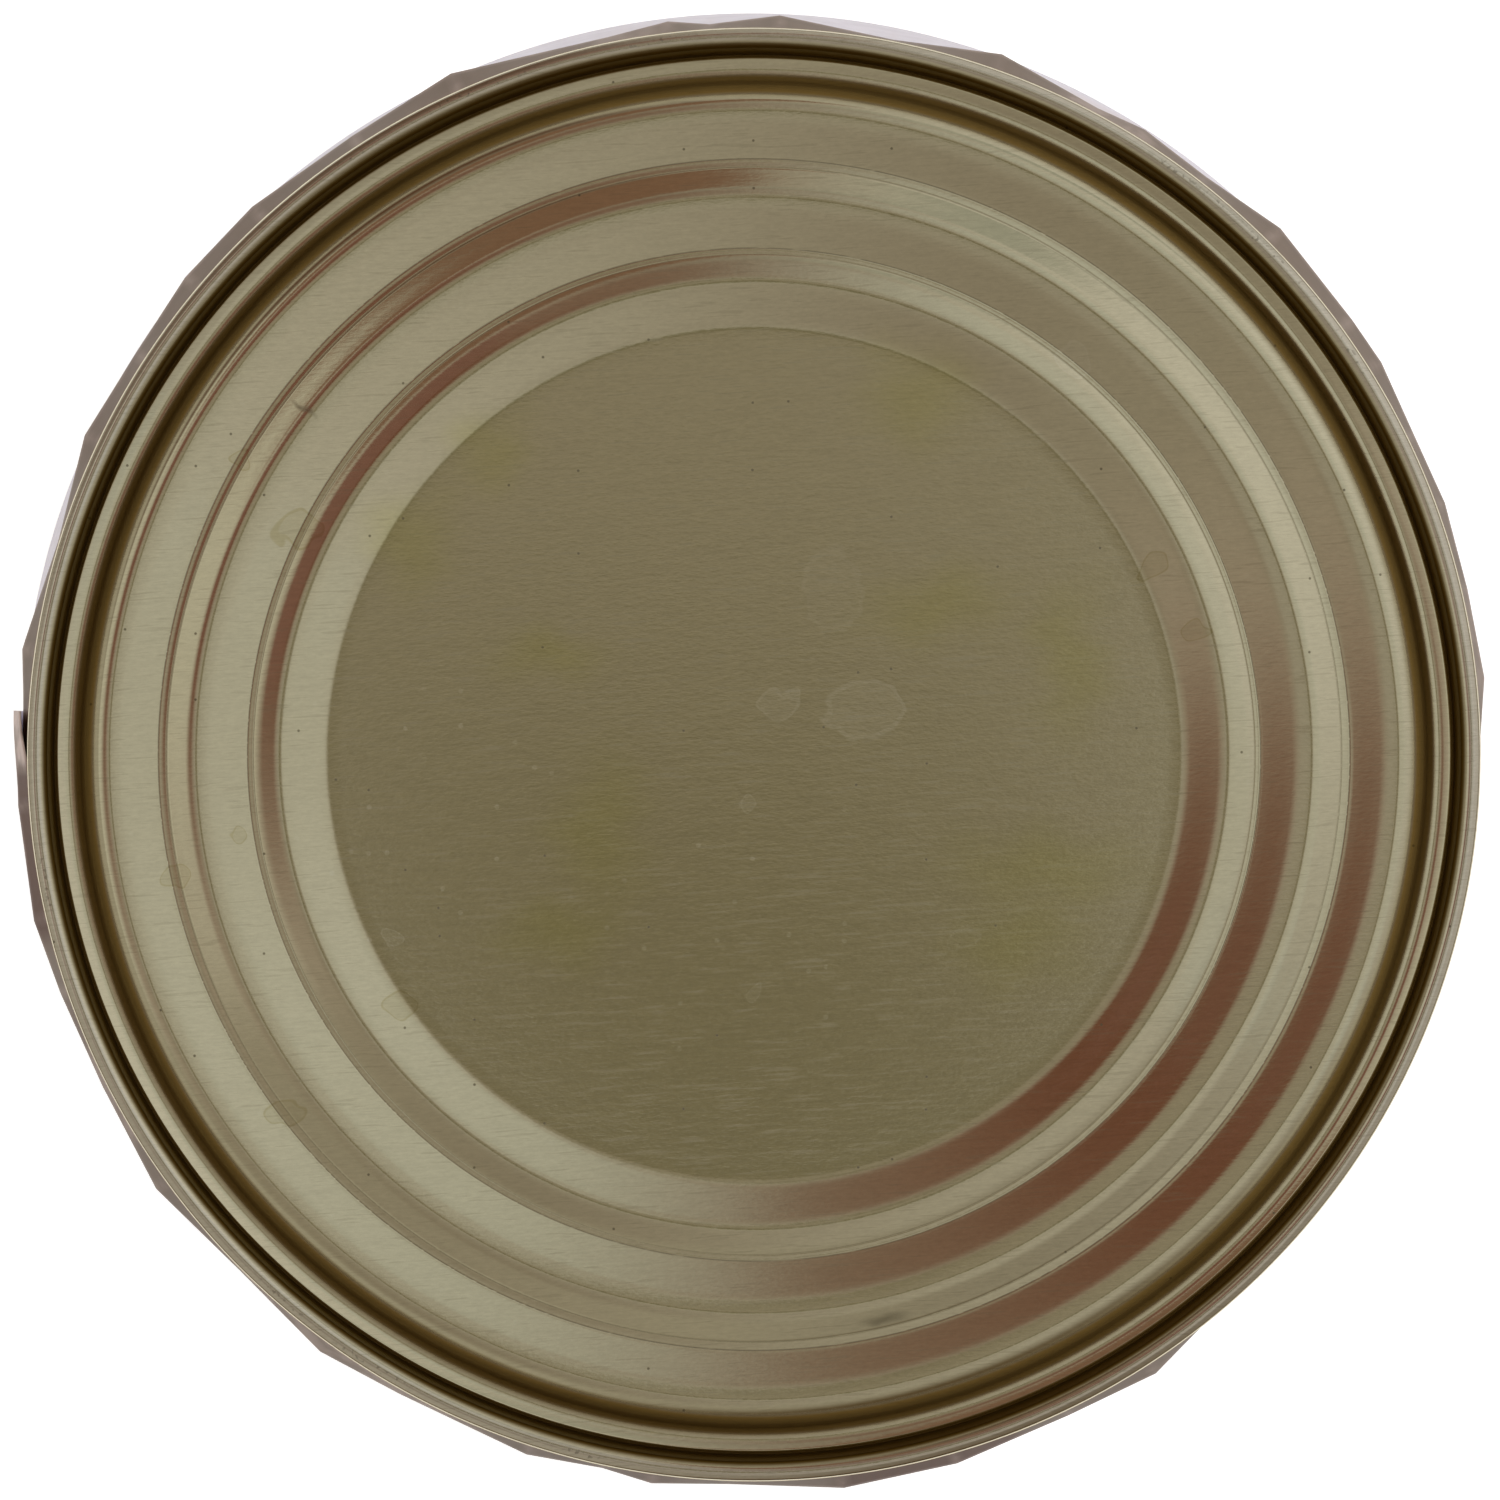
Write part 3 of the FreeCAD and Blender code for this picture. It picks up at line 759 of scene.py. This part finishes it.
# Real wear, and painted light on the lit cut edge and the lighter facets, turn the print pale.
patchy = recipe.math("MULTIPLY", recipe.stored("wear_and_painted_light"), recipe.ramp(blotch, 0.35, 0.6, 0.45, 1.0))
printed = recipe.blend(patchy, printed, CORE_AND_HIGHLIGHT)
printed = recipe.vector("SCALE", _0=printed, Scale=recipe.ramp(blotch, 0.2, 0.8, 0.94, 1.05))
bump = recipe.add("ShaderNodeBump", None, Strength=0.2, Distance=0.03 * MM, Height=fibre)
recipe.surface(Base_Color=printed, Roughness=PAPER_ROUGHNESS, Specular_IOR_Level=PAPER_GLOSS,
               Normal=bump.outputs[0])
label.data.materials.append(paper)
print(paper.name, len(recipe.tree.nodes), "nodes")

# %% [markdown]
# ## The camera
# It hangs straight above the can and looks down its axis, as far off as a product camera is.

# %% Camera
CAMERA_DISTANCE = 1.2
FRAME_WIDTH = 0.10234
CAMERA_X, CAMERA_Y = -0.27 * MM, 0.31 * MM
camera_data = bpy.data.cameras.new("camera")
camera_data.sensor_width = 36.0
camera_data.lens = camera_data.sensor_width * CAMERA_DISTANCE / FRAME_WIDTH
camera_data.clip_end = 10.0
camera = bpy.data.objects.new("camera", camera_data)
camera.location = (CAMERA_X, CAMERA_Y, can_height + CAMERA_DISTANCE)
bpy.context.scene.collection.objects.link(camera)
bpy.context.scene.camera = camera
print("lens %.0f mm" % camera_data.lens)

# %% [markdown]
# ## Floor, room and lamps
# Bright metal shows the room, so the room is part of the picture. The world below stands for a
# plain one: pale windows on the right, a softer light on the left, a warm dark wall upper left
# with a red card before it, and a dim middle where the camera hangs. All edges are soft.
# It is drawn on the dome seen from below, where the tangent of a slope is about the distance
# from the middle, so each ring of the can picks out one circle of it.
# The floor is a plain pale sheet. What looks at it or mirrors it sees it near white, and its
# own dull surface keeps the can's shadow.

# %% The floor
FLOOR_SIZE, FLOOR_GLOW = 6.0, 0.62
FLOOR_PALE = (0.8, 0.815, 0.84, 1.0)
floor_points = np.array([(-1, -1, 0), (1, -1, 0), (1, 1, 0), (-1, 1, 0)]) * FLOOR_SIZE / 2
floor = mesh_piece("floor", floor_points, np.array([[0, 1, 2, 3]]))
pale = bpy.data.materials.new("floor_pale")
recipe = Recipe(pale)
rays = recipe.add("ShaderNodeLightPath").outputs
seen = recipe.math("MAXIMUM", rays["Is Camera Ray"], rays["Is Glossy Ray"])
seen = recipe.math("MAXIMUM", seen, rays["Is Transmission Ray"])
matt = recipe.add("ShaderNodeBsdfDiffuse", None, Color=FLOOR_PALE).outputs[0]
glow = recipe.add("ShaderNodeEmission", None, Color=(1, 1, 1, 1),
                  Strength=recipe.math("MULTIPLY", seen, FLOOR_GLOW)).outputs[0]
both = recipe.add("ShaderNodeAddShader", None, _0=matt, _1=glow).outputs[0]
recipe.add("ShaderNodeOutputMaterial", None, Surface=both)
floor.data.materials.append(pale)
print("floor %.0f m wide" % FLOOR_SIZE)

# %% The room around it
# Each patch is (centre, half sizes, turn, soft edge, colour) on the dome's plan.
LEAST_UNDER = 0.05
FAR = (0.230, 0.180, 0.090, 1.0)
PATCHES = (
    ((0.0, 0.22), (1.0, 1.0), 0, (0.60, 0.85),
     (0.500, 0.455, 0.380, 1.0)),
    ((-0.157, 0.124), (0.642, 1.059), 12, (0.21, 0.39),
     (0.130, 0.058, 0.030, 1.0)),
    ((0.103, 0.025), (0.096, 0.327), -142, (0.44, 0.60),
     (0.602, 0.687, 0.661, 1.0)),
    ((0.201, 0.116), (0.258, 0.421), -3, (0.00, 1.35),
     (0.828, 0.796, 0.755, 1.0)),
    ((-0.178, -0.006), (0.332, 0.241), -130, (0.02, 1.38),
     (0.500, 0.459, 0.379, 1.0)),
    ((-0.181, 0.048), (0.240, 0.175), 49, (0.54, 0.85),
     (0.703, 0.666, 0.584, 1.0)),
    ((-0.093, 0.060), (0.082, 0.194), 142, (0.00, 1.35),
     (0.190, 0.062, 0.030, 1.0)),
    ((-0.073, 0.215), (0.050, 0.217), 132, (0.55, 0.89),
     (0.272, 0.153, 0.103, 1.0)),
    ((0.081, -0.700), (0.204, 0.572), -13, (0.24, 1.53),
     (0.130, 0.082, 0.035, 1.0)),
    ((0.126, 0.224), (0.206, 0.043), 14, (0.00, 1.09),
     (0.463, 0.466, 0.409, 1.0)),
    ((0.086, -0.005), (0.183, 0.052), -10, (0.06, 1.19),
     (0.660, 0.638, 0.580, 1.0)),
    ((-0.112, 0.076), (0.132, 0.044), 59, (0.47, 0.60),
     (0.274, 0.135, 0.107, 1.0)),
    ((-0.005, 0.012), (0.074, 0.036), 109, (0.32, 0.62),
     (0.163, 0.133, 0.045, 1.0)),
    ((-0.029, 0.025), (0.081, 0.025), -25, (0.35, 0.96),
     (0.395, 0.343, 0.270, 1.0)),
)
world = bpy.data.worlds.new("room")
bpy.context.scene.world = world
recipe = Recipe(world)
way = recipe.add("ShaderNodeTexCoord").outputs["Generated"]
split = recipe.add("ShaderNodeSeparateXYZ", None, Vector=way).outputs
under = recipe.math("MAXIMUM", recipe.math("ADD", split["Z"], 1.0), LEAST_UNDER)
plan = recipe.add("ShaderNodeCombineXYZ", None, X=recipe.math("DIVIDE", split["X"], under),
                  Y=recipe.math("DIVIDE", split["Y"], under)).outputs[0]
colour = FAR
for centre, half, turn, (inner, outer_edge), tone in PATCHES:
    reach = recipe.reach(plan, *centre, *half, turn)
    share = recipe.ramp(reach, inner, outer_edge, 1.0, 0.0)
    colour = recipe.blend(share, colour, tone)
rays = recipe.add("ShaderNodeLightPath").outputs
colour = recipe.blend(rays["Is Camera Ray"], colour, (1, 1, 1, 1))
sky = recipe.add("ShaderNodeBackground", None, Color=colour, Strength=1.0).outputs[0]
recipe.add("ShaderNodeOutputWorld", None, Surface=sky)
print(len(PATCHES), "soft patches in the room")


# %% Soft lamps
LAMP_DISTANCE, LAMP_SIZE = 1.1, 0.7


def soft_lamp(name, bearing, rise, watts):
    """A square lamp that looks at the can. It lights paper and floor, not the mirror."""
    lamp_data = bpy.data.lights.new(name, "AREA")
    lamp_data.size = LAMP_SIZE
    lamp_data.energy = watts
    lamp = bpy.data.objects.new(name, lamp_data)
    flat, up = math.radians(bearing), math.radians(rise)
    way = np.array([math.cos(up) * math.cos(flat), math.cos(up) * math.sin(flat), math.sin(up)])
    lamp.location = tuple(way * LAMP_DISTANCE + np.array([0, 0, can_height / 2]))
    lamp.rotation_euler = (math.pi / 2 - up, 0, flat + math.pi / 2)
    lamp.visible_glossy = False
    bpy.context.scene.collection.objects.link(lamp)


soft_lamp("lamp_right", 20, 45, 5.0)
soft_lamp("lamp_left", 150, 40, 3.0)
soft_lamp("lamp_front", 265, 40, 2.0)

# %% [markdown]
# ## Finish
# Colours are shown as they are written.

# %% Finish
bpy.context.scene.view_settings.view_transform = "Standard"
